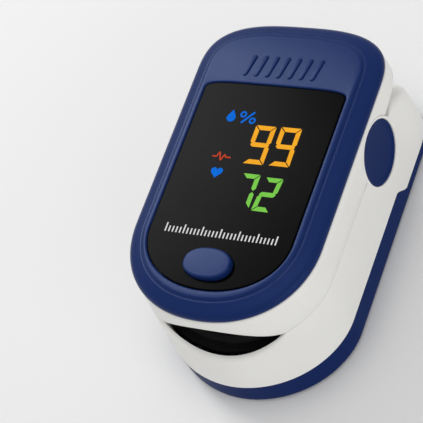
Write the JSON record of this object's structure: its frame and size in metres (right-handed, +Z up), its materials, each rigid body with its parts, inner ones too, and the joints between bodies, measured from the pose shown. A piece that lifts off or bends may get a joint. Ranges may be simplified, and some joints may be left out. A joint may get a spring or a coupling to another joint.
{
  "type": "fingertip pulse oximeter",
  "caption": "Hinged clip that closes on a fingertip, with a sprung upper jaw holding a display window and push button, padded finger channel with light sensor, and sliding battery cover.",
  "frame": {"origin": "middle of the bounding box's underside, on the surface the device lies on", "axes": "+Y along the length from the finger mouth towards the end that is pressed, +X across the width, +Z up out of the display"},
  "size_m": [0.0364, 0.0618, 0.0264],
  "materials": {
    "blue_plastic": "satin dark blue",
    "white_plastic": "satin off-white",
    "tinted_window": "polished black-tinted acrylic",
    "dark_plastic": "matte black",
    "black_rubber": "matte black silicone",
    "board_green": "green solder mask",
    "chip_black": "moulded black epoxy",
    "clear_lens": "clear epoxy",
    "bright_steel": "bright steel",
    "nickel_plate": "nickel plating",
    "cell_wrap": "dark printed sleeve on a metal can",
    "cable_amber": "amber polyimide film"
  },
  "bodies": {
    "lower_jaw": {"lower_housing": "white_plastic", "lower_frame": "dark_plastic", "lower_finger_pad": "black_rubber", "detector_window": "clear_lens", "photodiode": "chip_black", "detector_board": "board_green", "flex_cable": "cable_amber", "battery_1": "cell_wrap", "battery_2": "cell_wrap", "bridge_contact": "nickel_plate", "bridge_spring": "nickel_plate", "negative_terminal": "nickel_plate", "negative_spring": "nickel_plate", "positive_terminal": "nickel_plate", "hinge_pin": "bright_steel", "torsion_spring_left": "bright_steel", "torsion_spring_right": "bright_steel", "hinge_cap_left": "blue_plastic", "hinge_cap_right": "blue_plastic", "lower_screw_1": "bright_steel", "lower_screw_2": "bright_steel", "lower_screw_3": "bright_steel", "lower_screw_4": "bright_steel"},
    "upper_jaw": {"top_cover": "blue_plastic", "display_window": "tinted_window", "upper_housing": "white_plastic", "upper_frame": "dark_plastic", "upper_finger_pad": "black_rubber", "emitter_led": "clear_lens", "emitter_window": "clear_lens", "main_board": "board_green", "display_module": "dark_plastic", "mcu_chip": "chip_black", "cable_socket": "chip_black", "tact_switch": "chip_black", "upper_screw_1": "bright_steel", "upper_screw_2": "bright_steel", "upper_screw_3": "bright_steel", "upper_screw_4": "bright_steel"},
    "button": {"power_button": "blue_plastic", "switch_plunger": "nickel_plate"},
    "cover": {"battery_cover": "blue_plastic"}
  },
  "joints": [
    {"name": "jaw_hinge", "type": "hinge", "parent": "lower_jaw", "child": "upper_jaw", "pos_m": [0, 0.01173, 0.0156], "axis": [-1, 0, 0], "range_deg": [0, 9], "stiffness_Nm_per_rad": 0.12, "springref_deg": -20.05, "deforming": ["torsion_spring_left", "torsion_spring_right", "flex_cable"]},
    {"name": "button_press", "type": "slide", "parent": "upper_jaw", "child": "button", "axis": [0, 0, -1], "range_m": [0, 0.0004], "stiffness_N_per_m": 1500, "springref_m": -0.0004},
    {"name": "cover_slide", "type": "slide", "parent": "lower_jaw", "child": "cover", "axis": [0, -1, 0], "range_m": [0, 0.008]}
  ]
}
